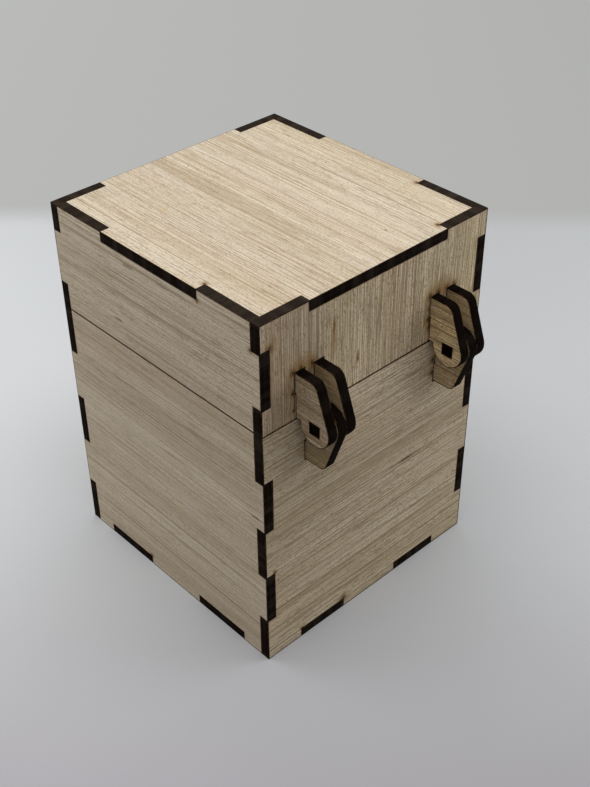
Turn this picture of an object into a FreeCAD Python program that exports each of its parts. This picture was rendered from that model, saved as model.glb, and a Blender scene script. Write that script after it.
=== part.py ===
import FreeCAD, Part
import math
import os

import Sketcher

# Wooden card deck box: ten finger-jointed plywood panels make a body and a lid, and the lid
# turns on two wooden pin hinges behind the back panel.
# Millimetres. +Z is up, the origin is the centre of the base's underside, the front is -Y
# and the hinges are on +Y. Every piece is cut from one sheet, so it is flat and as thick as the ply.

# Driving dimensions
SIZES = {
    "ply": 3.0,  # thickness of the sheet that every piece is cut from
    "width": 83.6,  # over the side panels, along X
    "depth": 85.8,  # over the front and back panels, along Y
    "body_height": 82.7,  # floor to seam
    "lid_height": 33.6,  # seam to top
    "corner_finger": 17.0,  # each full finger of an upright corner
    "base_finger_x": 17.2,  # fingers of the base in the front and back panels
    "base_gap_x": 22.6,  # between those fingers
    "base_finger_y": 20.3,  # fingers of the base in the side panels
    "base_gap_y": 23.5,  # between those fingers
    "top_finger_x": 50.5,  # the one finger of the top in the front and back panels
    "top_finger_y": 39.6,  # the one finger of the top in the side panels
    "hinge_inset": 16.5,  # middle of each hinge from the box's nearer side
    "leaf_gap": 0.35,  # air between an ear and the leaf beside it
    "ear_radius": 5.2,  # round end of an ear about the pin
    "leaf_overhang": 0.2,  # how much further the round end of a leaf reaches
    "end_air": 1.4,  # air between the round end of a leaf and the lid's back panel
    "ear_rise": 14.3,  # top edge of an ear above the pin
    "leaf_drop": 15.3,  # bottom edge of a leaf below the pin
    "root_gap": 0.3,  # from the seam to the root of an ear or leaf
    "plate_corner": 2.8,  # rounded outer corner of an ear or leaf
    "plate_lean": 19.5,  # degrees that the outer edge of an ear or leaf leans
    "tab_height": 6.3,  # tab of an ear or leaf in its panel's slot
    "slot_play": 0.1,  # air all round a tab in its slot
    "hole_play": 0.25,  # air each side of the square pin in an ear's square hole
    "pin_play": 0.1,  # air between the square pin's corners and the leaf's round hole
    "pin_recess": 0.45,  # ends of the square pin inside the outer faces of its ears
}

# Names for what a sketch numbers
SKETCH_ORIGIN = -1
LEVEL_AXIS = -1
START, END, CENTRE = 1, 2, 3

document = FreeCAD.newDocument("deck_box")
sheet = document.addObject("Spreadsheet::Sheet", "Sizes")
for row, (alias, number) in enumerate(SIZES.items(), start=1):
    sheet.set(f"A{row}", alias)
    sheet.set(f"B{row}", str(number))
    sheet.setAlias(f"B{row}", alias)
document.recompute()


class Length:
    """A length with the sheet expression that gives it, so that each formula is written once."""

    def __init__(self, value, formula):
        self.value = value
        self.formula = formula

    def __add__(self, other):
        return Length(self.value + other.value, f"({self.formula} + {other.formula})")

    def __sub__(self, other):
        return Length(self.value - other.value, f"({self.formula} - {other.formula})")

    def __mul__(self, factor):
        return Length(self.value * factor, f"({self.formula} * {factor})")

    def __truediv__(self, divisor):
        return Length(self.value / divisor, f"({self.formula} / {divisor})")

    def __neg__(self):
        return self * -1


def size(alias):
    """The driving dimension of that name."""
    return Length(sheet.get(alias), f"Sizes.{alias}")


zero = Length(0.0, "0")
ply = size("ply")
half_width = size("width") / 2
half_depth = size("depth") / 2
body_height = size("body_height")
lid_height = size("lid_height")
leaf_radius = size("ear_radius") + size("leaf_overhang")
pin_reach = leaf_radius + size("end_air")

subparts = []


def new_body(label):
    """A body whose label names its file."""
    body = document.addObject("PartDesign::Body", label)
    body.Label = label
    subparts.append(body)
    return body


def new_sketch(body, name, plane_role):
    """A sketch on one of the body's own origin planes."""
    plane = next(plane for plane in body.Origin.OriginFeatures if plane.Role == plane_role)
    sketch = body.newObject("Sketcher::SketchObject", name)
    sketch.AttachmentSupport = [(plane, "")]
    sketch.MapMode = "FlatFace"
    return sketch


def tie(sketch, kind, arguments, length, unit=""):
    """Add a dimension that the sheet drives."""
    index = sketch.addConstraint(Sketcher.Constraint(kind, *arguments, length.value))
    sketch.setExpression(f"Constraints[{index}]", length.formula + unit)


def draw_stepped_loop(sketch, corners):
    """Draw a closed loop of upright and level edges, each held at its own distance."""
    first = sketch.GeometryCount
    edges = list(zip(corners, corners[1:] + corners[:1]))
    for (x1, y1), (x2, y2) in edges:
        ends = FreeCAD.Vector(x1.value, y1.value), FreeCAD.Vector(x2.value, y2.value)
        sketch.addGeometry(Part.LineSegment(*ends))
    for step, ((x1, y1), (x2, y2)) in enumerate(edges):
        line = first + step
        following = first + (step + 1) % len(edges)
        sketch.addConstraint(Sketcher.Constraint("Coincident", line, END, following, START))
        if abs(x1.value - x2.value) < abs(y1.value - y2.value):
            sketch.addConstraint(Sketcher.Constraint("Vertical", line))
            tie(sketch, "DistanceX", (line, START), x1)
        elif y1 is zero:
            sketch.addConstraint(Sketcher.Constraint("Horizontal", line))
            sketch.addConstraint(Sketcher.Constraint("PointOnObject", line, START, LEVEL_AXIS))
        else:
            sketch.addConstraint(Sketcher.Constraint("Horizontal", line))
            tie(sketch, "DistanceY", (line, START), y1)


def pad(body, sketch, length, both_ways=False):
    """Thicken a sketch, to one side or evenly to both."""
    feature = body.newObject("PartDesign::Pad", "Thickness")
    feature.Profile = sketch
    feature.Midplane = both_ways
    feature.setExpression("Length", length.formula)


def cut_through(body, sketch):
    """Cut a sketch right through the body."""
    feature = body.newObject("PartDesign::Pocket", "Cut")
    feature.Profile = sketch
    feature.Type = "ThroughAll"
    feature.Midplane = True


def place(body, x=zero, y=zero, z=zero):
    """Put a body where the sheet says."""
    for axis, length in zip("xyz", (x, y, z)):
        body.setExpression(f".Placement.Base.{axis}", length.formula)


def mirrored_halves(half):
    """Close a right-hand outline, drawn upwards, with its mirror image on the left."""
    return half + [(-x, y) for x, y in reversed(half)]


def mirrored_quarters(quarter):
    """Close the outline of the corner at +X +Y, drawn anticlockwise, with its three images."""
    half = quarter + [(-x, y) for x, y in reversed(quarter)]
    return half + [(-x, -y) for x, y in half]


def corner_steps(height, reach_at_ends, reach_between):
    """The upright edge of a wall: finger and notch by turns, with equal cut-off fingers at its ends.

    The full fingers are as many as leave each end finger longer than the ply is thick, and their
    number is odd, so that both end fingers belong to the same wall: three in the body, one in the lid.
    """
    finger = size("corner_finger")
    room = (height.value - 2 * ply.value) / finger.value
    count = max(1, 2 * int((room + 1) / 2) - 1)
    end_finger = (height - finger * count) / 2
    levels = [zero] + [end_finger + finger * step for step in range(count + 1)] + [height]
    steps = []
    for step, (low, high) in enumerate(zip(levels, levels[1:])):
        reach = reach_between if step % 2 else reach_at_ends
        steps += [(reach, low), (reach, high)]
    return steps


def base_finger_spans(half_length, finger, gap):
    """Where the base's fingers begin and end, right of the middle of an edge: two fingers, or one
    across the middle where two would reach the corners. A start of None is the middle itself."""
    if (gap / 2 + finger + ply).value < half_length.value:
        return gap / 2, gap / 2 + finger
    return None, finger / 2


def body_wall_outline(half_length, reach_at_ends, reach_between, finger, gap):
    """A body wall: corner fingers up both edges and a notch for each finger of the base."""
    near, far = base_finger_spans(half_length, finger, gap)
    notch = [(far, ply), (far, zero)]
    if near:
        notch = [(near, zero), (near, ply)] + notch
    return mirrored_halves(notch + corner_steps(body_height, reach_at_ends, reach_between))


def lid_wall_outline(reach_at_ends, reach_between, finger):
    """A lid wall: corner fingers up both edges and one wide notch for the top's finger."""
    notch = [(finger / 2, lid_height), (finger / 2, lid_height - ply)]
    return mirrored_halves(corner_steps(lid_height, reach_at_ends, reach_between) + notch)


def flat_panel(label, plane_role, outline):
    """A panel of the sheet's thickness with that outline."""
    body = new_body(label)
    sketch = new_sketch(body, "Outline", plane_role)
    draw_stepped_loop(sketch, outline)
    pad(body, sketch, ply)
    return body


def cut_slots(body, middles, low):
    """Cut a tab's slot, with its play, at each middle along X. low is the tab's lower end."""
    play = size("slot_play")
    sketch = new_sketch(body, "Slots", "XZ_Plane")
    for middle in middles:
        left = middle - ply / 2 - play
        right = middle + ply / 2 + play
        bottom = low - play
        top = low + size("tab_height") + play
        draw_stepped_loop(sketch, [(left, bottom), (right, bottom), (right, top), (left, top)])
    cut_through(body, sketch)


# Panels of the body and the lid.
# The front and back own the corner at a wall's ends, and the sides own it at the next finger.
# The seam is at z = body_height, and the lid's panels are drawn upwards from it.

hinge_offset = half_width - size("hinge_inset")
hinge_middles = {"left": -hinge_offset, "right": hinge_offset}
ear_pitch = ply + size("leaf_gap")
ear_middles = {}
for side, middle in hinge_middles.items():
    ear_middles[f"{side}_hinge_ear_left"] = middle - ear_pitch
    ear_middles[f"{side}_hinge_ear_right"] = middle + ear_pitch


def make_base():
    """The base: its fingers end flush with the walls' outer faces."""
    near_y, far_y = base_finger_spans(half_depth, size("base_finger_y"), size("base_gap_y"))
    near_x, far_x = base_finger_spans(half_width, size("base_finger_x"), size("base_gap_x"))
    inner_x, inner_y = half_width - ply, half_depth - ply
    quarter = [(half_width, far_y), (inner_x, far_y), (inner_x, inner_y)]
    quarter += [(far_x, inner_y), (far_x, half_depth)]
    if near_y:
        quarter = [(inner_x, near_y), (half_width, near_y)] + quarter
    if near_x:
        quarter += [(near_x, half_depth), (near_x, inner_y)]
    flat_panel("base_panel", "XY_Plane", mirrored_quarters(quarter))


def make_top():
    """The lid's top: one wide finger along each edge, with the walls' ends showing beside it."""
    finger_x, finger_y = size("top_finger_x") / 2, size("top_finger_y") / 2
    inner_x, inner_y = half_width - ply, half_depth - ply
    quarter = [(half_width, finger_y), (inner_x, finger_y), (inner_x, inner_y)]
    quarter += [(finger_x, inner_y), (finger_x, half_depth)]
    body = flat_panel("lid_top_panel", "XY_Plane", mirrored_quarters(quarter))
    place(body, z=body_height + lid_height - ply)


def make_front_and_back():
    """The front and back of the body and of the lid. The two backs are slotted for the hinges."""
    inner_x = half_width - ply
    body_outline = body_wall_outline(
        half_width, half_width, inner_x, size("base_finger_x"), size("base_gap_x"))
    lid_outline = lid_wall_outline(half_width, inner_x, size("top_finger_x"))
    leaf_tab_low = body_height - size("leaf_drop")
    ear_tab_low = size("ear_rise") - size("tab_height")
    for name, outer_face in (("front", ply - half_depth), ("back", half_depth)):
        body_wall = flat_panel(f"body_{name}_panel", "XZ_Plane", body_outline)
        lid_wall = flat_panel(f"lid_{name}_panel", "XZ_Plane", lid_outline)
        if name == "back":
            cut_slots(body_wall, hinge_middles.values(), leaf_tab_low)
            cut_slots(lid_wall, ear_middles.values(), ear_tab_low)
        place(body_wall, y=outer_face)
        place(lid_wall, y=outer_face, z=body_height)


def make_sides():
    """The left and right sides of the body and of the lid."""
    inner_y = half_depth - ply
    body_outline = body_wall_outline(
        half_depth, inner_y, half_depth, size("base_finger_y"), size("base_gap_y"))
    lid_outline = lid_wall_outline(inner_y, half_depth, size("top_finger_y"))
    for name, start in (("left", -half_width), ("right", half_width - ply)):
        place(flat_panel(f"body_{name}_panel", "YZ_Plane", body_outline), x=start)
        place(flat_panel(f"lid_{name}_panel", "YZ_Plane", lid_outline), x=start, z=body_height)


# Hinges.
# An ear of the lid is drawn about the pin axis, as seen from +X: its root and its tab are at -Y,
# its top edge at +Z. A leaf of the body is the same form, upside down.


def draw_hinge_plate(sketch, radius, rise):
    """Draw an ear: tab, level top, rounded corner, leaning edge and round end about the pin."""
    wall = -pin_reach
    inside = wall - ply
    root = size("root_gap")
    tab_low = rise - size("tab_height")
    corner = size("plate_corner")
    lean = size("plate_lean")
    angle = math.radians(lean.value)

    # The leaning edge touches both circles, so its normal leads from each centre to its end.
    normal = FreeCAD.Vector(math.cos(angle), math.sin(angle))
    corner_y = rise.value - corner.value
    corner_x = (radius.value - corner.value - normal.y * corner_y) / normal.x
    corner_centre = FreeCAD.Vector(corner_x, corner_y)
    lean_top = corner_centre + normal * corner.value
    lean_low = normal * radius.value
    root_angle = math.pi - math.asin(root.value / radius.value)
    root_end = FreeCAD.Vector(radius.value * math.cos(root_angle), root.value)

    path = [FreeCAD.Vector(x.value, y.value) for x, y in
            ((wall, root), (wall, tab_low), (inside, tab_low), (inside, rise))]
    path += [FreeCAD.Vector(corner_x, rise.value)]
    up = FreeCAD.Vector(0, 0, 1)
    corner_circle = Part.Circle(corner_centre, up, corner.value)
    round_end = Part.Circle(FreeCAD.Vector(), up, radius.value)
    root_up, shoulder, tab_end, level_top = [
        sketch.addGeometry(Part.LineSegment(*ends)) for ends in zip(path, path[1:])]
    corner_arc = sketch.addGeometry(Part.ArcOfCircle(corner_circle, angle, math.pi / 2))
    leaning = sketch.addGeometry(Part.LineSegment(lean_top, lean_low))
    end_arc = sketch.addGeometry(Part.ArcOfCircle(round_end, root_angle - 2 * math.pi, angle))
    root_line = sketch.addGeometry(Part.LineSegment(root_end, path[0]))

    for kind, *arguments in (
        ("Coincident", root_up, END, shoulder, START),
        ("Coincident", shoulder, END, tab_end, START),
        ("Coincident", tab_end, END, level_top, START),
        ("Tangent", level_top, END, corner_arc, END),
        ("Tangent", corner_arc, START, leaning, START),
        ("Tangent", leaning, END, end_arc, END),
        ("Coincident", end_arc, START, root_line, START),
        ("Coincident", root_line, END, root_up, START),
        ("Coincident", end_arc, CENTRE, SKETCH_ORIGIN, START),
        ("Vertical", root_up),
        ("Horizontal", shoulder),
        ("Vertical", tab_end),
        ("Horizontal", level_top),
        ("Horizontal", root_line),
    ):
        sketch.addConstraint(Sketcher.Constraint(kind, *arguments))
    tie(sketch, "DistanceX", (root_up, START), wall)
    tie(sketch, "DistanceX", (tab_end, START), inside)
    tie(sketch, "DistanceY", (root_up, START), root)
    tie(sketch, "DistanceY", (shoulder, START), tab_low)
    tie(sketch, "DistanceY", (level_top, START), rise)
    tie(sketch, "Radius", (corner_arc,), corner)
    tie(sketch, "Radius", (end_arc,), radius)
    tie(sketch, "Angle", (leaning,), Length(angle - math.pi / 2, f"({lean.formula} - 90)"), " * 1 deg")


def draw_square(sketch, reach):
    """Draw a square about the pin axis. reach is half its side."""
    draw_stepped_loop(sketch, [(-reach, -reach), (reach, -reach), (reach, reach), (-reach, reach)])


def draw_square_hole(sketch):
    """An ear's square hole, which turns the pin with the lid."""
    draw_square(sketch, ply / 2 + size("hole_play"))


def draw_round_hole(sketch):
    """A leaf's round hole, in which the square pin's corners turn."""
    radius = ply * math.sqrt(2) / 2 + size("pin_play")
    circle = sketch.addGeometry(Part.Circle(FreeCAD.Vector(), FreeCAD.Vector(0, 0, 1), radius.value))
    sketch.addConstraint(Sketcher.Constraint("Coincident", circle, CENTRE, SKETCH_ORIGIN, START))
    tie(sketch, "Radius", (circle,), radius)


def hinge_plate(label, radius, rise, draw_hole, middle):
    """An ear or a leaf, as thick as the ply about its own middle plane."""
    body = new_body(label)
    outline = new_sketch(body, "Outline", "YZ_Plane")
    draw_hinge_plate(outline, radius, rise)
    pad(body, outline, ply, both_ways=True)
    hole = new_sketch(body, "Hole", "YZ_Plane")
    draw_hole(hole)
    cut_through(body, hole)
    place(body, x=middle, y=half_depth + pin_reach, z=body_height)
    return body


def make_pin(label, middle):
    """A square bar, cut from the same sheet, whose ends stand a little inside the ears' outer faces."""
    body = new_body(label)
    section = new_sketch(body, "Section", "YZ_Plane")
    draw_square(section, ply / 2)
    stack = ply * 3 + size("leaf_gap") * 2
    pad(body, section, stack - size("pin_recess") * 2, both_ways=True)
    place(body, x=middle, y=half_depth + pin_reach, z=body_height)


def make_hinges():
    """Two hinges, each of two lid ears, one body leaf between them and one pin."""
    for label, middle in ear_middles.items():
        hinge_plate(label, size("ear_radius"), size("ear_rise"), draw_square_hole, middle)
    for side, middle in hinge_middles.items():
        leaf = hinge_plate(f"{side}_hinge_leaf", leaf_radius, size("leaf_drop"), draw_round_hole, middle)
        leaf.Placement.Rotation = FreeCAD.Rotation(FreeCAD.Vector(0, 1, 0), 180)
        make_pin(f"{side}_hinge_pin", middle)


make_base()
make_top()
make_front_and_back()
make_sides()
make_hinges()
document.recompute()

failed = [item.Label for item in document.Objects if {"Invalid", "Error"} & set(item.State)]
if failed:
    raise SystemExit(f"these objects failed: {failed}")
for body in subparts:
    shape = body.Shape
    if shape.isNull() or not shape.isValid() or len(shape.Solids) != 1:
        raise SystemExit(f"{body.Label} isn't one valid solid")

os.makedirs("parts", exist_ok=True)
for body in subparts:
    body.Shape.exportStep(f"parts/{body.Label}.step")
print(f"{len(subparts)} pieces written")
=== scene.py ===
"""Looks of the wooden card deck box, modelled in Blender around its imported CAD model.

The box is laser-cut from 3 mm plywood. Every sheet starts from its CAD node, gets eased edges and scorched
rims, and is dressed as what it is: veneer on its faces and burnt plies on its cuts.
"""

import logging
import math
from collections.abc import Iterator
from contextlib import contextmanager
from dataclasses import dataclass
from enum import Enum

import bpy
from mathutils import Euler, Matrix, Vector


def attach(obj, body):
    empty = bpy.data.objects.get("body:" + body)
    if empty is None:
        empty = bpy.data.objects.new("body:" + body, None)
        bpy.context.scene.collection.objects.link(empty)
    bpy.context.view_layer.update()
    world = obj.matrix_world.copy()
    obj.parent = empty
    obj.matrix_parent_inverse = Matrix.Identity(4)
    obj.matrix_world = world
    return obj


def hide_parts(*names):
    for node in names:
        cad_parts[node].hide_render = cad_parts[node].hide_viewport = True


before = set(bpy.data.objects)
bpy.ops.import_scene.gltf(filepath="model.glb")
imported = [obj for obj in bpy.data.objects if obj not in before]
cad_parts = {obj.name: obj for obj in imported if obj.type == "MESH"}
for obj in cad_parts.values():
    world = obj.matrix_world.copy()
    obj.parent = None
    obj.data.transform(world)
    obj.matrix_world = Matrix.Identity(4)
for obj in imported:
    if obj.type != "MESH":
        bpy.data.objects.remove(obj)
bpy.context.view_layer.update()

LOG = logging.getLogger("deck_box")
MM = 0.001  # one millimetre in Blender's metres

Socket = bpy.types.NodeSocket
Point = tuple[float, float, float]


class Axis(Enum):
    """A direction of the box: X to its right, Y to its back and Z up."""

    X = 0
    Y = 1
    Z = 2


class Grain(Enum):
    """The way a veneer's grain runs, with the turn that brings it onto a pattern's own X."""

    ALONG_X = (0.0, 0.0, 0.0)
    ALONG_Y = (0.0, 0.0, -math.pi / 2)
    ALONG_Z = (0.0, math.pi / 2, 0.0)


def linear(colour: str) -> tuple[float, float, float, float]:
    """Turns an sRGB hex colour into the linear one that Blender's sockets take.

    Args:
        colour: The colour as "#rrggbb".

    Returns:
        Linear red, green, blue and an alpha of one.
    """
    parts = (int(colour[i : i + 2], 16) / 255 for i in (1, 3, 5))
    red, green, blue = (c / 12.92 if c <= 0.04045 else ((c + 0.055) / 1.055) ** 2.4 for c in parts)
    return red, green, blue, 1.0


def add_node(tree: bpy.types.NodeTree, kind: str, inputs: dict | None = None, **settings: object) -> bpy.types.Node:
    """Adds one shader node, sets it up and links it.

    Args:
        tree: The node tree that gets the node.
        kind: The node's type, without "ShaderNode".
        inputs: For each input, by name or number, a value or the output that feeds it.
        **settings: The node's own properties.

    Returns:
        The new node.
    """
    node = tree.nodes.new("ShaderNode" + kind)
    for key, value in settings.items():
        setattr(node, key, value)
    for key, value in (inputs or {}).items():
        if isinstance(value, Socket):
            tree.links.new(value, node.inputs[key])
        else:
            node.inputs[key].default_value = value
    return node


def new_material(name: str) -> bpy.types.Material:
    """Makes a material with an empty node tree and an output.

    Args:
        name: The material's name.

    Returns:
        The material.
    """
    material = bpy.data.materials.new(name)
    material.use_nodes = True
    material.node_tree.nodes.clear()
    return material


def select_only(piece: bpy.types.Object) -> None:
    """Makes one object the only selected one, and active.

    Args:
        piece: The object.
    """
    bpy.ops.object.select_all(action="DESELECT")
    piece.select_set(True)
    bpy.context.view_layer.objects.active = piece


@contextmanager
def editing(piece: bpy.types.Object) -> Iterator[None]:
    """Holds one object in edit mode, for as long as the block runs.

    Args:
        piece: The object.
    """
    select_only(piece)
    bpy.ops.object.mode_set(mode="EDIT")
    yield
    bpy.ops.object.mode_set(mode="OBJECT")


# ---------------------------------------------------------------- finishes


@dataclass(frozen=True)
class Streaks:
    """One family of marks in the wood.

    Attributes:
        length: How far a mark runs along the grain, in mm.
        width: How wide it is across the grain, in mm.
        colour: The tone that it turns the wood.
        start: The noise level at which a mark starts to show.
        full: The noise level at which it is fully there.
        strength: How strongly it covers, from 0 to 1.
        shift: Keeps this family from matching another.
        detail: Octaves of finer noise in it.
    """

    length: float
    width: float
    colour: str
    start: float
    full: float
    strength: float
    shift: int
    detail: float = 1.0


@dataclass(frozen=True)
class Spot:
    """One mark at one place: a scorch beside a cut, a mineral streak or a dark growth line.

    Attributes:
        at: Its middle, in mm.
        along: How far it reaches along the grain, in mm.
        across: How far it reaches across the grain, in mm.
        colour: The tone that it turns the wood.
        strength: How strongly it covers, from 0 to 1.
    """

    at: Point
    along: float
    across: float
    colour: str
    strength: float


def scorch(x: float, y: float, z: float, reach: float = 1.0) -> tuple[Spot, ...]:
    """Makes the mark that the beam leaves where it turns a corner: a dark heart in brown smoke.

    Args:
        x: Its place to the right, in mm.
        y: Its place to the back, in mm.
        z: Its height, in mm.
        reach: How far the brown reaches, in mm.

    Returns:
        The smoke, the brown and the heart.
    """
    return (
        Spot((x, y, z), reach * 2.6, reach * 2.2, "#946c2e", 0.5),
        Spot((x, y, z), reach * 1.4, reach * 1.2, "#583a18", 0.7),
        Spot((x, y, z), reach * 0.6, reach * 0.5, "#20140b", 0.85),
    )


def bands(middle: Point, axis: Axis, *rows: tuple[float, float, str, float]) -> tuple[Spot, ...]:
    """Makes broad bands of darker or paler wood, which run along the grain through a whole panel.

    Args:
        middle: A point of the panel's face, in mm.
        axis: The axis that crosses the grain.
        *rows: For each band its place on that axis and its half width, in mm, its tone and its strength.

    Returns:
        The bands.
    """
    places = ([row[0] if axis.value == i else middle[i] for i in range(3)] for row in rows)
    return tuple(Spot(tuple(place), 90.0, *row[1:]) for place, row in zip(places, rows))


@dataclass(frozen=True)
class Veneer:
    """Basswood-type face veneer of laser plywood: sliced thin, sanded flat and left bare.

    To the eye that is a dry matt cream with long straight grain: soft bands of warmer and greyer wood, growth
    rings that end in a thin dark line, a comb of fine fibres, and open pores. Along a laser cut it is toasted.

    Attributes:
        name: The material's name.
        grain: The way the grain runs.
        base: The wood's middle tone.
        contrast: How strongly all streaks show, 1 being the lid's top.
        leaf: Where on the veneer leaf this sheet was cut, in mm, so that no two sheets match.
        fine: How much more strongly the finest streaks show.
        bands: Broad bands of paler or darker wood, under the grain.
        spots: Scorches and other single marks, over the grain.
    """

    name: str
    grain: Grain
    base: str = "#d2c5b0"
    contrast: float = 1.0
    leaf: Point = (0.0, 0.0, 0.0)
    fine: float = 1.1
    bands: tuple[Spot, ...] = ()
    spots: tuple[Spot, ...] = ()

    BROAD = (
        Streaks(200, 17, "#c9ae95", 0.46, 0.70, 0.45, 0),  # pinkish bands
        Streaks(170, 10, "#c9bc92", 0.48, 0.70, 0.25, 1),  # yellow-green bands
        Streaks(160, 4.5, "#b5a286", 0.54, 0.74, 0.26, 2),  # greyer bands
        Streaks(120, 1.1, "#b19c7d", 0.55, 0.75, 0.16, 3),  # thin darker bands
    )
    # Real basswood pores are about 0.1 mm wide. The render shows 3 pixels a millimetre, so they are drawn 0.25 mm wide.
    FINE = (
        Streaks(110, 0.45, "#efe5d2", 0.50, 0.66, 0.24, 4),  # light fibres
        Streaks(120, 0.34, "#8c7756", 0.50, 0.66, 0.34, 5),  # dark fibres
        Streaks(7, 0.26, "#7a6445", 0.54, 0.70, 0.55, 6, 2.0),  # open pores
        Streaks(0.8, 0.3, "#8d7855", 0.52, 0.70, 0.5, 7),  # flecks between them
    )
    RING = 11.0  # mean growth of a year, in mm
    COMB = 0.78  # mean distance between the rows of pores, in mm

    def build(self) -> bpy.types.Material:
        """Makes the veneer's material.

        Returns:
            The material.
        """
        material = new_material(self.name)
        tree = material.node_tree
        place = self.on_the_leaf(tree)
        lines = self.wandering(tree, place)
        colour, _ = self.streaked(tree, linear(self.base), lines, self.BROAD, 1.0)
        colour = self.spotted(tree, colour, place, self.bands)
        colour = self.ringed(tree, colour, lines)
        colour, relief = self.streaked(tree, colour, lines, self.FINE, self.fine)
        colour = self.spotted(tree, colour, place, self.spots)
        colour, crust = self.toasted(tree, colour, place)
        shine = add_node(tree, "MapRange", {"Value": crust, "To Min": 0.3, "To Max": 0.03})
        bump = add_node(
            tree, "Bump", {"Height": relief, "Strength": 0.5, "Distance": 0.04 * MM}
        )  # sanding leaves the pores some hundredths of a millimetre deep
        rough = add_node(tree, "MapRange", {"Value": relief, "To Min": 0.74, "To Max": 0.6})
        shader = add_node(
            tree,
            "BsdfPrincipled",
            {
                "Base Color": colour,
                "Roughness": rough.outputs[0],
                "Normal": bump.outputs[0],
                "IOR": 1.5,
                "Specular IOR Level": shine.outputs[0],
            },
        )
        add_node(tree, "OutputMaterial", {"Surface": shader.outputs[0]})
        return material

    def on_the_leaf(self, tree: bpy.types.NodeTree) -> Socket:
        """Gives the place on the veneer leaf, in millimetres with the grain along X.

        Args:
            tree: The material's node tree.

        Returns:
            The coordinate.
        """
        here = add_node(tree, "TexCoord").outputs["Object"]
        return add_node(
            tree,
            "Mapping",
            {"Vector": here, "Location": self.leaf, "Rotation": self.grain.value, "Scale": (1 / MM,) * 3},
        ).outputs[0]

    def wandering(self, tree: bpy.types.NodeTree, place: Socket) -> Socket:
        """Bends the grain a little: straight-grained stock wanders about half a millimetre over a panel.

        Args:
            tree: The material's node tree.
            place: The coordinate on the leaf.

        Returns:
            The coordinate, moved across the grain.
        """
        slow = add_node(tree, "VectorMath", {0: place, 1: (1 / 90, 1 / 40, 1 / 40)}, operation="MULTIPLY")
        drift = add_node(tree, "TexNoise", {"Vector": slow.outputs[0], "Scale": 1.0, "Detail": 1.0})
        return add_node(
            tree,
            "VectorMath",
            {0: drift.outputs["Color"], 1: (0.0, 1.4, 1.4), 2: place},
            operation="MULTIPLY_ADD",
        ).outputs[0]

    def stretched_noise(
        self, tree: bpy.types.NodeTree, place: Socket, length: float, width: float, shift: float, detail: float
    ) -> Socket:
        """Gives noise drawn out along the grain.

        Args:
            tree: The material's node tree.
            place: The coordinate on the leaf.
            length: Its size along the grain, in mm.
            width: Its size across the grain, in mm.
            shift: Keeps one family of marks from matching another.
            detail: Octaves of finer noise.

        Returns:
            The noise, about 0.5 in the middle.
        """
        drawn = add_node(
            tree,
            "VectorMath",
            {0: place, 1: (1 / length, 1 / width, 1 / width), 2: (17.3 * shift, 5.1 * shift, 9.7 * shift)},
            operation="MULTIPLY_ADD",
        )
        return add_node(
            tree, "TexNoise", {"Vector": drawn.outputs[0], "Scale": 1.0, "Detail": detail, "Roughness": 0.6}
        ).outputs[0]

    def tinted(
        self,
        tree: bpy.types.NodeTree,
        colour: Socket | tuple,
        level: Socket,
        limits: tuple[float, float],
        tone: str,
        strength: float,
    ) -> tuple[Socket, Socket]:
        """Turns the colour towards a tone where a level lies between two limits or past them.

        Args:
            tree: The material's node tree.
            colour: The colour so far.
            level: What decides where the tone shows.
            limits: The levels at which it starts to show and is fully there.
            tone: The tone.
            strength: How strongly it covers.

        Returns:
            The new colour, and the tone's cover.
        """
        cover = add_node(
            tree,
            "MapRange",
            {"Value": level, "From Min": limits[0], "From Max": limits[1], "To Min": 0.0, "To Max": strength},
            interpolation_type="SMOOTHSTEP",
        ).outputs[0]
        return add_node(tree, "Mix", {0: cover, 6: colour, 7: linear(tone)}, data_type="RGBA").outputs[2], cover

    def across(self, tree: bpy.types.NodeTree, place: Socket, pitch: float) -> Socket:
        """Counts how many times a pitch fits across the grain.

        Args:
            tree: The material's node tree.
            place: The coordinate on the leaf.
            pitch: The pitch, in mm.

        Returns:
            The count.
        """
        return add_node(
            tree, "VectorMath", {0: place, 1: (0.0, 1 / pitch, 1 / pitch)}, operation="DOT_PRODUCT"
        ).outputs["Value"]

    def ringed(self, tree: bpy.types.NodeTree, colour: Socket, place: Socket) -> Socket:
        """Draws the growth rings and, along them, the rows of pores.

        Args:
            tree: The material's node tree.
            colour: The wood's colour.
            place: The coordinate on the leaf.

        Returns:
            The colour with the rings.
        """
        for pitch, bend, reach, shape, limits, tone, strength in (
            (self.RING, (230, 26, 40), 5.0, ("FRACT", 1.0), (0.7, 1.0), "#a8946f", 0.25),
            (self.COMB, (190, 5, 60), 8.0, ("PINGPONG", 0.5), (0.22, 0.5), "#8c7756", 0.56),
        ):
            noise = self.stretched_noise(tree, place, *bend, 1.0)
            count = add_node(
                tree,
                "Math",
                {0: noise, 1: reach, 2: self.across(tree, place, pitch)},
                operation="MULTIPLY_ADD",
            ).outputs[0]
            step = add_node(tree, "Math", {0: count, 1: shape[1]}, operation=shape[0]).outputs[0]
            colour, _ = self.tinted(tree, colour, step, limits, tone, min(1.0, strength * self.contrast))
        return colour

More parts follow.
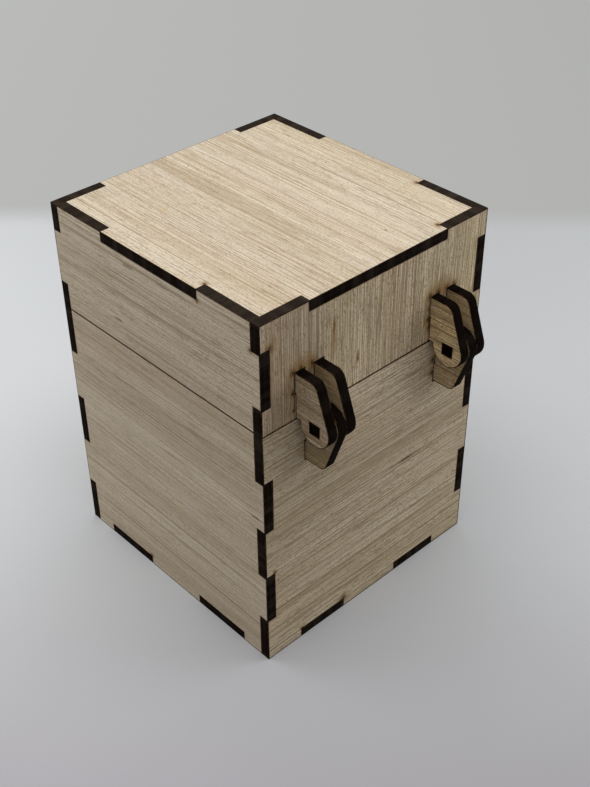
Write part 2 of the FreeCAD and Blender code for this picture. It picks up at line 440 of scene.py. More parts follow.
    def streaked(
        self,
        tree: bpy.types.NodeTree,
        colour: Socket | tuple,
        place: Socket,
        families: tuple[Streaks, ...],
        keen: float,
    ) -> tuple[Socket, Socket]:
        """Lays some families of streaks over the wood's colour.

        Args:
            tree: The material's node tree.
            colour: The wood's colour.
            place: The coordinate on the leaf.
            families: The streaks.
            keen: How much more strongly than the broad ones the long ones under 0.4 mm wide show. The short ones
                gain half as much.

        Returns:
            The colour, and how far each point lies out of the deepest marks, from 0 to 1.
        """
        deepest = min(families, key=lambda family: family.width)
        for streaks in families:
            noise = self.stretched_noise(tree, place, streaks.length, streaks.width, streaks.shift, streaks.detail)
            limits = (streaks.start, streaks.full)
            gain = (keen if streaks.length > 50 else (1 + keen) / 2) if streaks.width < 0.4 else 1.0
            strength = min(1.0, streaks.strength * self.contrast * gain)
            colour, cover = self.tinted(tree, colour, noise, limits, streaks.colour, strength)
            if streaks is deepest:
                relief = add_node(tree, "Math", {0: 1.0, 1: cover}, operation="SUBTRACT").outputs[0]
        return colour, relief

    def spotted(
        self, tree: bpy.types.NodeTree, colour: Socket | tuple, place: Socket, spots: tuple[Spot, ...]
    ) -> Socket | tuple:
        """Draws single marks, with ragged outlines.

        Args:
            tree: The material's node tree.
            colour: The wood's colour.
            place: The coordinate on the leaf.
            spots: The marks.

        Returns:
            The colour with the marks.
        """
        if not spots:
            return colour
        ragged = self.stretched_noise(tree, place, 2.6, 0.7, 3, 3.0)
        turn = Euler(self.grain.value).to_matrix()
        for spot in spots:
            middle = turn @ Vector(spot.at) + Vector(self.leaf)
            away = add_node(tree, "VectorMath", {0: place, 1: middle}, operation="SUBTRACT").outputs[0]
            scaled = add_node(
                tree,
                "VectorMath",
                {0: away, 1: (1 / spot.along, 1 / spot.across, 1 / spot.across)},
                operation="MULTIPLY",
            ).outputs[0]
            share = add_node(tree, "VectorMath", {0: scaled}, operation="LENGTH").outputs["Value"]
            level = add_node(tree, "Math", {0: ragged, 1: 1.2, 2: share}, operation="MULTIPLY_ADD").outputs[0]
            colour, _ = self.tinted(tree, colour, level, (1.9, 0.9), spot.colour, spot.strength)
        return colour

    def toasted(self, tree: bpy.types.NodeTree, colour: Socket, place: Socket) -> tuple[Socket, Socket]:
        """Browns the wood along the laser cuts.

        Args:
            tree: The material's node tree.
            colour: The wood's colour.
            place: The coordinate on the leaf.

        Returns:
            The toasted colour, and how far black crust covers it.
        """
        ragged = self.stretched_noise(tree, place, 1.4, 0.9, 7, 3.0)
        heat = add_node(tree, "Attribute", attribute_name="char").outputs["Fac"]
        uneven = add_node(tree, "Math", {0: ragged, 1: 0.5}, operation="SUBTRACT").outputs[0]
        patchy = add_node(tree, "Math", {0: uneven, 1: 0.9, 2: heat}, operation="MULTIPLY_ADD").outputs[0]
        level = add_node(tree, "Math", {0: patchy, 1: heat}, operation="MULTIPLY").outputs[0]
        for tone, limits, strength in (
            ("#9a7a52", (0.03, 0.45), 0.75),  # toasted
            ("#4a3423", (0.30, 0.62), 0.9),  # browned
            ("#1b130f", (0.55, 0.85), 1.0),  # charred
        ):
            colour, crust = self.tinted(tree, colour, level, limits, tone, strength)
        return colour, crust


@dataclass(frozen=True)
class CharredEdge:
    """Laser-cut edge of plywood: the beam leaves the three plies burnt to a dry black-brown crust.

    To the eye that is near black, with the core ply a shade lighter, the glue lines darkest, and fine upright
    ridges from the beam's pulses. The pulses are 0.1 mm apart and are drawn 0.4 mm apart, to show at all. Along
    the corners brown specks show: partly crust come off down to brown wood, partly a painted highlight. The top was
    sanded after gluing, which took some of the crust off the edges that lie in it; these edges also carry a painted
    sheen, the backdrop's reflection painted as a paler tone.

    Attributes:
        name: The material's name.
        outer: Tone of the two face plies.
        core: Tone of the core ply, which is cut across its fibres.
        glue: Tone of the glue lines.
        ash: How much greyish ash lies on the crust, from 0 to 1.
        flaked_and_highlit: Tone of the brown specks along the corners: wood where the crust has come off, and a painted
            highlight.
        sanded: Tone of the edges in the sanded top, made paler by a painted sheen as well.
        sanded_above: Height of the sanded top, in mm.
    """

    name: str = "laser_charred_ply"
    outer: str = "#130c08"
    core: str = "#1b120c"
    glue: str = "#0c0705"
    ash: float = 0.22
    flaked_and_highlit: str = "#614528"
    sanded: str = "#29211b"
    sanded_above: float = 116.2

    def build(self) -> bpy.types.Material:
        """Makes the burnt edge's material.

        Returns:
            The material.
        """
        material = new_material(self.name)
        tree = material.node_tree
        place = add_node(tree, "Attribute", attribute_name="cut_place").outputs["Vector"]
        depth = add_node(tree, "Attribute", attribute_name="ply_depth").outputs["Fac"]
        pulses = add_node(
            tree, "TexNoise", {"Vector": place, "Scale": 2.2, "Detail": 2.0, "Roughness": 0.6}
        ).outputs[0]
        patches = add_node(tree, "TexNoise", {"Vector": place, "Scale": 0.3, "Detail": 3.0}).outputs[0]
        plies = add_node(tree, "ValToRGB", {"Fac": depth})
        ramp = plies.color_ramp
        ramp.elements[0].color = linear(self.outer)
        ramp.elements[1].color = linear(self.outer)
        for at, tone in (
            (0.30, self.outer),
            (0.34, self.glue),
            (0.38, self.core),
            (0.62, self.core),
            (0.66, self.glue),
            (0.70, self.outer),
        ):
            ramp.elements.new(at).color = linear(tone)
        soot = add_node(
            tree, "MapRange", {"Value": pulses, "From Min": 0.3, "From Max": 0.7, "To Min": 0.75, "To Max": 1.2}
        ).outputs[0]
        shaded = add_node(tree, "VectorMath", {0: plies.outputs[0], "Scale": soot}, operation="SCALE").outputs[0]
        ash = add_node(
            tree,
            "MapRange",
            {"Value": patches, "From Min": 0.42, "From Max": 0.66, "To Min": 0.0, "To Max": self.ash},
            interpolation_type="SMOOTHSTEP",
        ).outputs[0]
        # Painted sheen: the edges in the top are made paler, partly for the crust sanded off and partly for the
        # backdrop's reflection painted into their colour.
        height = add_node(
            tree,
            "VectorMath",
            {0: add_node(tree, "TexCoord").outputs["Object"], 1: (0.0, 0.0, 1 / MM)},
            operation="DOT_PRODUCT",
        ).outputs["Value"]
        sanded_and_sheen = add_node(tree, "Math", {0: height, 1: self.sanded_above}, operation="GREATER_THAN").outputs[0]
        sanded_and_sheen = add_node(tree, "Math", {0: sanded_and_sheen, 1: 0.75}, operation="MULTIPLY").outputs[0]
        shaded = add_node(tree, "Mix", {0: sanded_and_sheen, 6: shaded, 7: linear(self.sanded)}, data_type="RGBA").outputs[2]
        colour = add_node(tree, "Mix", {0: ash, 6: shaded, 7: linear("#4a4239")}, data_type="RGBA").outputs[2]
        # Brown specks along the corners: partly crust come off, partly a painted highlight on the arris.
        from_face = add_node(tree, "Math", {0: depth, 1: 0.5}, operation="PINGPONG").outputs[0]
        corner = add_node(
            tree, "MapRange", {"Value": from_face, "From Min": 0.02, "From Max": 0.09, "To Min": 0.5, "To Max": 0.0}
        ).outputs[0]
        flakes = add_node(tree, "TexNoise", {"Vector": place, "Scale": 0.8, "Detail": 3.0}).outputs[0]
        flake_and_highlight_specks = add_node(
            tree,
            "MapRange",
            {"Value": flakes, "From Min": 0.5, "From Max": 0.62},
            interpolation_type="SMOOTHSTEP",
        ).outputs[0]
        bare = add_node(tree, "Math", {0: corner, 1: flake_and_highlight_specks}, operation="MULTIPLY").outputs[0]
        colour = add_node(tree, "Mix", {0: bare, 6: colour, 7: linear(self.flaked_and_highlit)}, data_type="RGBA").outputs[2]
        bump = add_node(tree, "Bump", {"Height": pulses, "Strength": 0.5, "Distance": 0.05 * MM})
        shader = add_node(
            tree,
            "BsdfPrincipled",
            {
                "Base Color": colour,
                "Roughness": 0.9,
                "Normal": bump.outputs[0],
                "IOR": 1.45,
                "Specular IOR Level": 0.03,
            },
        )
        add_node(tree, "OutputMaterial", {"Surface": shader.outputs[0]})
        return material


# ---------------------------------------------------------------- the box's pieces


@dataclass
class Sheet:
    """One laser-cut plywood piece, made over the CAD node of the same shape.

    Attributes:
        node: The CAD node that it stands for.
        name: The piece's own name.
        body: The CAD body that it rides on.
        slot: The record's material slot. Not used.
        through: The axis across the sheet's thickness.
        face: The veneer on its two faces.
        cut: The material of its cut edges.
        ease: How far the cut's corners are rounded, in mm.
        char: How far the black of a cut reaches onto the face, in mm.
        toast: How far the browning reaches past that, in mm.
    """

    node: str
    name: str
    body: str
    slot: str
    through: Axis
    face: Veneer
    cut: bpy.types.Material
    ease: float = 0.05
    char: float = 0.09
    toast: float = 0.38

    def build(self) -> bpy.types.Object:
        """Makes the piece, dresses it and puts it in the frame.

        Returns:
            The finished piece.
        """
        piece = self.outline()
        self.ease_corners(piece)
        self.burn_rims(piece)
        self.dress(piece)
        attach(piece, self.body)
        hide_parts(self.node)
        LOG.info("%s: %d faces, on %s", self.name, len(piece.data.polygons), self.body)
        return piece

    def outline(self) -> bpy.types.Object:
        """Copies the CAD node's mesh and merges its loose triangles into clean faces.

        Returns:
            The new object, at the origin.
        """
        piece = bpy.data.objects.new(self.name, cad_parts[self.node].data.copy())
        piece.data.name = self.name
        piece.data.materials.clear()
        bpy.context.scene.collection.objects.link(piece)
        with editing(piece):
            bpy.ops.mesh.select_all(action="SELECT")
            bpy.ops.mesh.customdata_custom_splitnormals_clear()
            bpy.ops.mesh.remove_doubles(threshold=0.002 * MM)
            bpy.ops.mesh.dissolve_limited(angle_limit=math.radians(0.5))
        return piece

    def ease_corners(self, piece: bpy.types.Object) -> None:
        """Rounds the cut's sharp corners by a hair, as the beam does.

        Args:
            piece: The piece.
        """
        select_only(piece)
        bevel = piece.modifiers.new("eased", "BEVEL")
        bevel.width = self.ease * MM
        bevel.segments = 2
        bevel.limit_method = "ANGLE"
        bevel.angle_limit = math.radians(40)
        bpy.ops.object.modifier_apply(modifier=bevel.name)

    def is_face(self, polygon: bpy.types.MeshPolygon) -> bool:
        """Tells if a polygon lies on one of the sheet's two veneered faces."""
        return abs(polygon.normal[self.through.value]) > 0.999

    def burn_rims(self, piece: bpy.types.Object) -> None:
        """Insets both faces twice, and writes how burnt each ring is.

        Args:
            piece: The piece.
        """
        mesh = piece.data
        for polygon in mesh.polygons:
            polygon.select = self.is_face(polygon)
        rings: list[set[int]] = []
        for width in (self.char, self.toast):
            with editing(piece):
                bpy.ops.mesh.select_mode(type="FACE")
                bpy.ops.mesh.inset(thickness=width * MM, use_boundary=True, use_even_offset=True)
            rings.append({v for p in mesh.polygons if p.select for v in p.vertices})
        burnt = [0.0 if v in rings[1] else 0.72 if v in rings[0] else 1.0 for v in range(len(mesh.vertices))]
        mesh.attributes.new("char", "FLOAT", "POINT").data.foreach_set("value", burnt)

    def dress(self, piece: bpy.types.Object) -> None:
        """Gives the faces their veneer and the cuts their burnt plies.

        Args:
            piece: The piece.
        """
        mesh = piece.data
        mesh.materials.append(self.face.build())
        mesh.materials.append(self.cut)
        for polygon in mesh.polygons:
            polygon.material_index = 0 if self.is_face(polygon) else 1
        axis = self.through.value
        across = [v.co[axis] for v in mesh.vertices]
        low, high = min(across), max(across)
        mesh.attributes.new("ply_depth", "FLOAT", "POINT").data.foreach_set(
            "value", [(a - low) / (high - low) for a in across]
        )
        squeeze = [1 / MM] * 3
        squeeze[axis] *= 0.08  # the pulses' ridges run right through the sheet
        mesh.attributes.new("cut_place", "FLOAT_VECTOR", "POINT").data.foreach_set(
            "vector", [c * s for v in mesh.vertices for c, s in zip(v.co, squeeze)]
        )
        select_only(piece)
        bpy.ops.object.shade_smooth_by_angle(angle=math.radians(30))


@dataclass
class BoxBody:
    """The lower part: a floor and four walls, finger-jointed and glued.

    Attributes:
        body: The CAD body that it rides on.
        slot: The record's material slot.
        back: Where the back panel's outer face lies on Y, in mm.
        right: Where the right panel's outer face lies on X, in mm.
        back_bands: Broad bands in the back panel's wood.
        back_spots: Scorches and growth lines on the back panel.
        right_bands: Broad paler or darker bands in the right panel, one of them just below the seam with the lid.
        right_spots: Scorches and growth lines on the right panel.
    """

    body: str = "box"
    slot: str = "ply_panel"
    back: float = 42.9
    right: float = 41.8
    back_bands: tuple[Spot, ...] = bands(
        (0.0, back, 40.0),
        Axis.Z,
        (54.5, 2.6, "#a28e6c", 0.5),
        (48.6, 3.2, "#a28e6c", 0.35),
        (34.5, 2.2, "#d9c9a7", 0.3),
        (29.0, 2.0, "#dccca9", 0.3),
        (12.0, 12.0, "#dccca9", 0.55),
    )
    back_spots: tuple[Spot, ...] = (
        *scorch(11.2, back, 3.6, 1.1),
        *scorch(28.5, back, 3.4, 0.5),
        *scorch(-22.9, back, 75.2, 0.8),
        *scorch(-23.1, back, 70.6, 0.8),
        *scorch(38.6, back, 33.4, 0.5),
        Spot((-14.5, back, 44.1), 9.0, 0.55, "#7d5e38", 0.8),  # a mineral streak
        Spot((-14.0, back, 44.0), 3.0, 0.5, "#4d3a22", 0.7),
        Spot((0.0, back, 29.9), 70.0, 0.45, "#7f6a4b", 0.6),  # dark growth lines
        Spot((4.0, back, 18.2), 60.0, 0.5, "#86704f", 0.6),
        Spot((6.0, back, 51.0), 60.0, 1.3, "#9a8463", 0.5),
        Spot((0.0, back, 53.6), 70.0, 0.25, "#e6d9bd", 0.4),
    )
    right_bands: tuple[Spot, ...] = bands(
        (right, 0.0, 40.0),
        Axis.Z,
        # darker just below the seam with the lid
        (78.2, 3.8, "#a28f74", 0.5),
        (66.5, 4.6, "#ad9a7e", 0.5),
        (60.0, 2.6, "#ad9a7e", 0.5),
        (51.5, 5.5, "#d8ccb6", 0.5),
        (32.0, 3.0, "#ad9a7e", 0.35),
        (22.5, 6.0, "#d8ccb6", 0.35),
        (6.0, 2.4, "#ad9a7e", 0.3),
    )
    right_spots: tuple[Spot, ...] = (
        *scorch(right, -11.8, 3.4, 0.6),
        Spot((right, 39.6, 53.5), 1.8, 0.5, "#7a4a35", 0.7),
        Spot((right, 0.0, 12.5), 70.0, 0.5, "#8c7858", 0.6),  # dark growth lines
        Spot((right, 4.0, 26.4), 60.0, 0.45, "#8c7858", 0.6),
        Spot((right, 0.0, 56.6), 70.0, 0.45, "#94805f", 0.5),
        Spot((right, -8.0, 62.8), 50.0, 0.6, "#94805f", 0.55),
        Spot((right, -18.0, 43.6), 28.0, 0.4, "#8c7858", 0.5),
    )

    def build(self, cut: bpy.types.Material) -> None:
        """Makes the five panels.

        Args:
            cut: The material of the cut edges.
        """
        body, slot = self.body, self.slot
        base = Veneer("basswood_veneer_base", Grain.ALONG_Y, leaf=(40, 10, 300))
        front = Veneer("basswood_veneer_body_front", Grain.ALONG_X, "#cebfa4", 1.15, (0, 60, 80), 1.6)
        back = Veneer(
            name="basswood_veneer_body_back",
            grain=Grain.ALONG_X,
            base="#d9c9ac",
            contrast=1.0,
            leaf=(15, 5, 140),
            fine=2.2,
            bands=self.back_bands,
            spots=self.back_spots,
        )
        left = Veneer("basswood_veneer_body_left", Grain.ALONG_Y, contrast=0.9, leaf=(70, 25, 30), fine=1.6)
        right = Veneer(
            name="basswood_veneer_body_right",
            grain=Grain.ALONG_Y,
            base="#cebfa8",
            contrast=0.8,
            leaf=(120, 45, 210),
            fine=1.4,
            bands=self.right_bands,
            spots=self.right_spots,
        )
        for sheet in (
            Sheet("base_panel", "base_sheet", body, slot, Axis.Z, base, cut),
            Sheet("body_front_panel", "body_front_sheet", body, slot, Axis.Y, front, cut),
            Sheet("body_back_panel", "body_back_sheet", body, slot, Axis.Y, back, cut, char=0.18),
            Sheet("body_left_panel", "body_left_sheet", body, slot, Axis.X, left, cut),
            Sheet("body_right_panel", "body_right_sheet", body, slot, Axis.X, right, cut),
        ):
            sheet.build()


@dataclass
class BoxLid:
    """The upper part: a top and four low walls, finger-jointed and glued.

    Attributes:
        body: The CAD body that it rides on.
        slot: The record's material slot.
        top: Height of the top panel's outer face, in mm.
        back: Where the back panel's outer face lies on Y, in mm. The front panel's lies as far in front.
        right: Where the right panel's outer face lies on X, in mm.
        sanded_char: How far the black of a cut reaches onto the sanded top, in mm.
        top_bands: Broad bands in the top panel's wood.
        back_bands: Broad bands in the back panel's wood.
        right_bands: Broad bands in the right panel's wood.
        top_spots: Scorches, knots and growth lines on the top panel.
        back_spots: Scorches, mineral streaks and growth lines on the back panel.
        front_spots: Scorches and a mineral streak on the front panel.
        right_spots: Scorches and growth lines on the right panel.
    """

    body: str = "lid"
    slot: str = "ply_panel"
    top: float = 116.3
    back: float = 42.9
    right: float = 41.8
    sanded_char: float = 0.04
    top_bands: tuple[Spot, ...] = (
        *bands(
            (0.0, 0.0, top),
            Axis.X,
            (34.5, 1.8, "#dccfb9", 0.4),
            (32.0, 1.8, "#b5a288", 0.35),
            (15.0, 8.0, "#b5a38b", 0.2),
            (0.0, 2.4, "#e2d6c0", 0.4),
            (-13.0, 3.0, "#ddd0b8", 0.25),
            (-33.0, 5.0, "#d9cbae", 0.5),
        ),
        Spot((5.8, -14.0, top), 60.0, 3.2, "#a28b6e", 0.42),
    )
    back_bands: tuple[Spot, ...] = bands(
        (0.0, back, 100.0),
        Axis.X,
        (29.0, 12.0, "#9c896d", 0.5),
        (10.0, 4.0, "#e0d1ac", 0.3),
        (-3.5, 3.0, "#ae9b79", 0.3),
        (-14.0, 3.0, "#ae9b79", 0.25),
        (-33.0, 7.0, "#e4d3a8", 0.5),
    )
    right_bands: tuple[Spot, ...] = bands(
        (right, 0.0, 100.0),
        Axis.Z,
        (107.8, 2.4, "#d8ccb4", 0.4),
        (98.0, 5.0, "#d8ccb4", 0.4),
        (86.0, 4.0, "#ab997e", 0.35),
    )
    top_spots: tuple[Spot, ...] = (
        *scorch(38.8, 19.5, top, 0.6),
        *scorch(-24.9, 39.8, top, 0.8),
        *scorch(-38.7, 19.6, top, 0.7),
        Spot((27.9, 31.6, top), 0.7, 0.4, "#8a6b48", 0.6),  # a pin knot
        Spot((22.5, -17.6, top), 3.0, 0.6, "#c8a468", 0.4),
        Spot((-12.9, 32.0, top), 0.6, 0.35, "#4f3a25", 0.8),
        Spot((-3.1, 0.0, top), 46.0, 0.4, "#a08b69", 0.4),  # dark growth lines
        Spot((-15.0, 8.0, top), 60.0, 0.4, "#a08b69", 0.4),
        Spot((-26.3, 10.0, top), 46.0, 0.4, "#9c8866", 0.55),
    )
    back_spots: tuple[Spot, ...] = (
        Spot((-24.5, back, 99.0), 3.2, 4.6, "#946e30", 0.45),  # smoke above the slots
        Spot((27.2, back, 98.8), 2.8, 4.4, "#946e30", 0.4),
        *scorch(38.7, back, 108.4, 1.1),
        *scorch(30.9, back, 97.4, 1.1),
        *scorch(28.2, back, 97.4, 0.9),
        *scorch(24.3, back, 97.4, 1.1),
        *scorch(31.2, back, 91.2, 0.7),
        *scorch(30.9, back, 85.6, 0.5),
        *scorch(-19.9, back, 97.4, 1.2),
        *scorch(-23.2, back, 97.4, 1.2),
        *scorch(-26.7, back, 97.3, 1.0),
        *scorch(-29.8, back, 97.4, 0.8),
        *scorch(-19.9, back, 93.6, 0.6),
        *scorch(-19.7, back, 90.2, 1.0),
        *scorch(-20.0, back, 87.4, 0.6),
        Spot((30.6, back, 90.0), 8.0, 0.3, "#2a1a10", 0.85),  # the slots' burnt sides, with painted shade where the ears meet the lid
        Spot((-20.1, back, 91.0), 7.0, 0.4, "#2a1a10", 0.85),
        Spot((-37.7, back, 106.5), 4.0, 0.6, "#8a6a3a", 0.7),
        Spot((16.7, back, 102.8), 7.0, 0.5, "#987133", 0.85),  # mineral streaks
        Spot((16.6, back, 105.6), 3.0, 0.3, "#6f4f26", 0.8),
        Spot((7.8, back, 91.2), 2.2, 0.6, "#8a5f25", 0.9),
        Spot((7.9, back, 90.6), 1.2, 0.35, "#4a3013", 0.85),
        Spot((4.1, back, 101.0), 24.0, 0.4, "#82705a", 0.65),  # dark growth lines
        Spot((-13.2, back, 100.0), 24.0, 0.4, "#7a6649", 0.7),
        Spot((22.3, back, 103.0), 12.0, 0.35, "#7a6649", 0.6),
    )
    front_spots: tuple[Spot, ...] = (
        *scorch(-38.2, -back, 108.5, 0.8),
        *scorch(25.6, -back, 113.0, 0.7),
        Spot((-9.0, -back, 99.0), 6.0, 0.5, "#94713b", 0.7),
    )
    right_spots: tuple[Spot, ...] = (
        *scorch(right, 20.0, 113.1, 0.6),
        *scorch(right, 39.5, 107.9, 0.5),
        Spot((right, -15.4, 90.6), 2.4, 0.4, "#5c4a30", 0.75),
        Spot((right, -8.6, 110.4), 2.6, 0.6, "#83705a", 0.6),
        Spot((right, 5.8, 110.8), 2.6, 0.6, "#83705a", 0.6),
        Spot((right, -10.0, 99.8), 40.0, 0.6, "#94805f", 0.5),
    )

    def build(self, cut: bpy.types.Material) -> None:
        """Makes the five panels.

        Args:
            cut: The material of the cut edges.
        """
        body, slot = self.body, self.slot
        top = Veneer(
            name="basswood_veneer_lid_top",
            grain=Grain.ALONG_Y,
            base="#d4c7b3",
            contrast=0.8,
            fine=1.9,
            bands=self.top_bands,
            spots=self.top_spots,
        )
        front = Veneer(
            name="basswood_veneer_lid_front",
            grain=Grain.ALONG_Z,
            base="#d0c0a1",
            contrast=1.2,
            leaf=(20, 9, 33),
            fine=1.6,
            spots=self.front_spots,
        )
        back = Veneer(
            name="basswood_veneer_lid_back",
            grain=Grain.ALONG_Z,
            base="#e1cfad",
            contrast=1.4,
            leaf=(5, 30, 71),
            fine=1.5,
            bands=self.back_bands,
            spots=self.back_spots,
        )
        left = Veneer("basswood_veneer_lid_left", Grain.ALONG_Y, contrast=0.9, leaf=(33, 18, 260), fine=1.8)
        right = Veneer(
            name="basswood_veneer_lid_right",
            grain=Grain.ALONG_Y,
            base="#d2c3ab",
            contrast=0.75,
            leaf=(90, 70, 12),
            fine=2.3,
            bands=self.right_bands,
            spots=self.right_spots,
        )
        for sheet in (
            Sheet("lid_top_panel", "lid_top_sheet", body, slot, Axis.Z, top, cut, char=self.sanded_char, toast=0.15),
            Sheet("lid_front_panel", "lid_front_sheet", body, slot, Axis.Y, front, cut),
            Sheet("lid_back_panel", "lid_back_sheet", body, slot, Axis.Y, back, cut, char=0.18),
            Sheet("lid_left_panel", "lid_left_sheet", body, slot, Axis.X, left, cut),
            Sheet("lid_right_panel", "lid_right_sheet", body, slot, Axis.X, right, cut),
        ):
            sheet.build()


@dataclass
class PinHinge:
    """One wooden pin hinge: two ears on the lid, a leaf on the body and a square pin.

    Attributes:
        side: "left" or "right", as seen from the box's front.
        plate_tones_and_shade: Tones of the left ear, the right ear and the leaf, which come from three offcuts; each
            tone also carries painted light and shade, paler or darker by how lit that plate stands.
        leaf_body: The CAD body that the leaf rides on.
        ear_body: The CAD body that the ears and the pin ride on.
    """

    side: str
    plate_tones_and_shade: tuple[str, str, str]
    leaf_body: str = "box"
    ear_body: str = "lid"

    def build(self, cut: bpy.types.Material) -> None:
        """Makes the hinge's four pieces.

        Args:
            cut: The material of the cut edges.
        """
        shift = 0 if self.side == "left" else 130
        plates = (
            (f"{self.side}_hinge_ear_left", self.ear_body, 11),
            (f"{self.side}_hinge_ear_right", self.ear_body, 56),
            (f"{self.side}_hinge_leaf", self.leaf_body, 83),
        )
        # Each plate's tone is its offcut's wood with painted light and shade in it.
        for (node, body, start), wood in zip(plates, self.plate_tones_and_shade):
            face = Veneer(f"basswood_veneer_{node}", Grain.ALONG_Y, wood, 1.25, (start + shift, 3, start), 2.2)
            Sheet(node, f"{node}_plate", body, "ply_hinge", Axis.X, face, cut).build()
        node = f"{self.side}_hinge_pin"
        face = Veneer(f"basswood_veneer_{node}", Grain.ALONG_X, base="#a98f68", leaf=(shift, 40, 5))
        Sheet(node, f"{node}_bar", self.ear_body, "ply_pin", Axis.Y, face, cut).build()


# ---------------------------------------------------------------- studio


@dataclass
class Studio:
    """The photograph's camera, a pale floor and plain soft light.

    Attributes:
        camera_place: The camera's place, in mm.
        camera_turn: The camera's turn about X, Y and Z, in degrees.
        lens: Its focal length on a 36 mm long side, in mm.
        floor_radius: Half the floor's width, in mm.
        floor_ends: Where the photograph's floor meets its backdrop, in mm behind the box.
        floor_fades: Where the floor starts and ends to fade into the backdrop on all other sides, in mm.
        wall_evens: Where the backdrop's tone starts and ends to fade into the far wall's, in mm.
        far_wall: The far wall's tone.
        lamps: For each lamp its name, its place and width in mm, and its watts.
    """

    camera_place: Point = (196.33, 221.39, 274.02)
    camera_turn: Point = (53.0785, 0.4514, 136.7438)
    lens: float = 55.518
    floor_radius: float = 4000.0
    floor_ends: float = 205.0
    floor_fades: tuple[float, float] = (255.0, 560.0)
    wall_evens: tuple[float, float] = (560.0, 1500.0)
    far_wall: str = "#b5b6b4"
    lamps: tuple[tuple[str, Point, float, float], ...] = (
        ("overhead_softbox", (40.0, 30.0, 1100.0), 1200.0, 12.4),
        ("left_fill", (230.0, -300.0, 220.0), 320.0, 0.48),
        ("right_fill", (-300.0, 230.0, 220.0), 320.0, 0.52),
    )

    def build(self) -> None:
        """Sets up the whole studio."""
        self.set_camera()
        self.lay_floor()
        self.light()

    def set_camera(self) -> None:
        """Puts the camera where the photograph was taken from."""
        data = bpy.data.cameras.new("photo_camera")
        data.lens = self.lens
        data.sensor_width = 36.0
        data.clip_start = 0.01
        camera = bpy.data.objects.new("photo_camera", data)
        camera.location = Vector(self.camera_place) * MM
        camera.rotation_euler = [math.radians(a) for a in self.camera_turn]
        bpy.context.scene.collection.objects.link(camera)
        bpy.context.scene.camera = camera

    def lay_floor(self) -> None:
        """Lays the pale floor, which turns into the backdrop's grey behind the box."""
        bpy.ops.object.select_all(action="DESELECT")
        bpy.ops.mesh.primitive_circle_add(vertices=96, radius=self.floor_radius * MM, fill_type="NGON")
        floor = bpy.context.view_layer.objects.active
        floor.name = "studio_floor"
        floor.data.materials.append(self.floor_material())

    def floor_material(self) -> bpy.types.Material:
        """Makes the floor's paper: matt and pale, with painted light and shade on it, and the backdrop's tone past its
        far end.

        Returns:
            The material.
        """
        material = new_material("matt_studio_paper")
        tree = material.node_tree
        here = add_node(tree, "TexCoord").outputs["Object"]
        behind = add_node(
            tree, "VectorMath", {0: here, 1: (-0.7071 / MM, -0.7071 / MM, 0.0)}, operation="DOT_PRODUCT"
        ).outputs["Value"]
        aside = add_node(
            tree, "VectorMath", {0: here, 1: (-0.7071 / MM, 0.7071 / MM, 0.0)}, operation="DOT_PRODUCT"
        ).outputs["Value"]
        # Painted light and shade: the paper is darker towards the camera and paler behind the box.
        painted_falloff = add_node(
            tree,
            "MapRange",
            {"Value": behind, "From Min": -125.0, "From Max": 10.0},
            interpolation_type="SMOOTHSTEP",
        ).outputs[0]
        tone = add_node(
            tree, "Mix", {0: painted_falloff, 6: linear("#a2a0a4"), 7: linear("#bec0c2")}, data_type="RGBA"
        ).outputs[2]
        # Painted light and shade: the paper is paler to the camera's left and darker to its right.
        side = add_node(
            tree, "MapRange", {"Value": aside, "From Min": -125.0, "From Max": 60.0, "To Min": 1.15, "To Max": 0.93}
        ).outputs[0]
        tone = add_node(tree, "VectorMath", {0: tone, "Scale": side}, operation="SCALE").outputs[0]
        diffuse = add_node(tree, "BsdfDiffuse", {"Color": tone})
        # Painted shade: the backdrop's glow is a shade darker to the camera's right.
        wall_tone = add_node(
            tree, "MapRange", {"Value": aside, "From Min": -250.0, "From Max": 250.0}
        ).outputs[0]
        wall = add_node(
            tree, "Mix", {0: wall_tone, 6: linear("#bbbcba"), 7: linear("#b0b1af")}, data_type="RGBA"
        ).outputs[2]
        away = add_node(tree, "VectorMath", {0: here}, operation="LENGTH").outputs["Value"]
        far, faded = (
            add_node(
                tree,
                "MapRange",
                {"Value": away, "From Min": start * MM, "From Max": end * MM},
                interpolation_type="SMOOTHSTEP",
            ).outputs[0]
            for start, end in (self.wall_evens, self.floor_fades)
        )
        wall = add_node(tree, "Mix", {0: far, 6: wall, 7: linear(self.far_wall)}, data_type="RGBA").outputs[2]
        glow = add_node(tree, "Emission", {"Color": wall, "Strength": 1.0})
        past = add_node(
            tree,
            "MapRange",
            {"Value": behind, "From Min": self.floor_ends - 12, "From Max": self.floor_ends + 12},
            interpolation_type="SMOOTHSTEP",
        ).outputs[0]
        beyond = add_node(tree, "Math", {0: past, 1: faded}, operation="MAXIMUM").outputs[0]
        shown = add_node(tree, "Math", {0: beyond, 1: self.seen(tree)}, operation="MULTIPLY").outputs[0]
        both = add_node(tree, "MixShader", {0: shown, 1: diffuse.outputs[0], 2: glow.outputs[0]})
        add_node(tree, "OutputMaterial", {"Surface": both.outputs[0]})
        return material

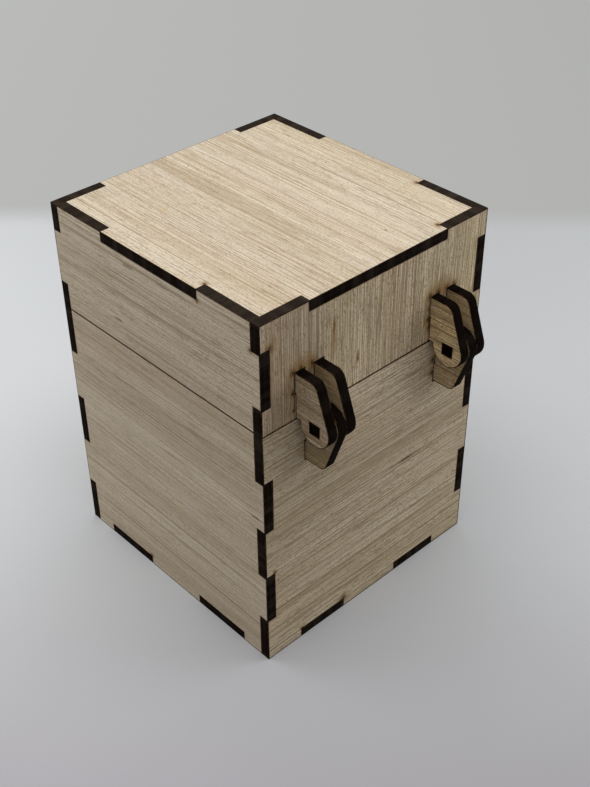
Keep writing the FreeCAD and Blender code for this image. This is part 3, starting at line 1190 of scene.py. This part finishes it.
    def seen(self, tree: bpy.types.NodeTree) -> Socket:
        """Tells rays that show the backdrop from those that would light the box with it.

        Args:
            tree: The material's or world's node tree.

        Returns:
            One for camera, glossy and transmission rays, or else zero.
        """
        rays = add_node(tree, "LightPath").outputs
        either = add_node(tree, "Math", {0: rays["Is Camera Ray"], 1: rays["Is Glossy Ray"]}, operation="MAXIMUM")
        return add_node(
            tree, "Math", {0: either.outputs[0], 1: rays["Is Transmission Ray"]}, operation="MAXIMUM"
        ).outputs[0]

    def light(self) -> None:
        """Hangs the lamps, and gives the room its even light."""
        for name, place, size, watts in self.lamps:
            data = bpy.data.lights.new(name, "AREA")
            data.shape = "DISK"
            data.size = size * MM
            data.energy = watts
            lamp = bpy.data.objects.new(name, data)
            lamp.location = Vector(place) * MM
            lamp.rotation_euler = (Vector((0, 0, 50)) - Vector(place)).to_track_quat("-Z", "Y").to_euler()
            bpy.context.scene.collection.objects.link(lamp)
        world = bpy.data.worlds.new("studio_room")
        world.use_nodes = True
        tree = world.node_tree
        tree.nodes.clear()
        room = add_node(tree, "Background", {"Color": linear("#ffffff"), "Strength": 0.114})
        backdrop = add_node(tree, "Background", {"Color": linear(self.far_wall), "Strength": 1.0})
        both = add_node(tree, "MixShader", {0: self.seen(tree), 1: room.outputs[0], 2: backdrop.outputs[0]})
        add_node(tree, "OutputWorld", {"Surface": both.outputs[0]})
        bpy.context.scene.world = world


def main() -> None:
    """Builds the studio, the box and the hinges."""
    logging.basicConfig(level=logging.INFO, format="%(name)s: %(message)s")
    bpy.context.scene.view_settings.view_transform = "Standard"
    Studio().build()
    cut = CharredEdge().build()
    BoxBody().build(cut)
    BoxLid().build(cut)
    sooty = CharredEdge("laser_charred_hinge_ply", "#0b0604", "#0e0805", "#060302", ash=0.06).build()
    # The hinge plates' tones carry painted light and shade as well as each offcut's wood.
    PinHinge("left", ("#c2ac87", "#ebd19d", "#dfc38d")).build(sooty)
    PinHinge("right", ("#b4a080", "#c8b394", "#b29e72")).build(sooty)


if __name__ == "__main__":
    main()
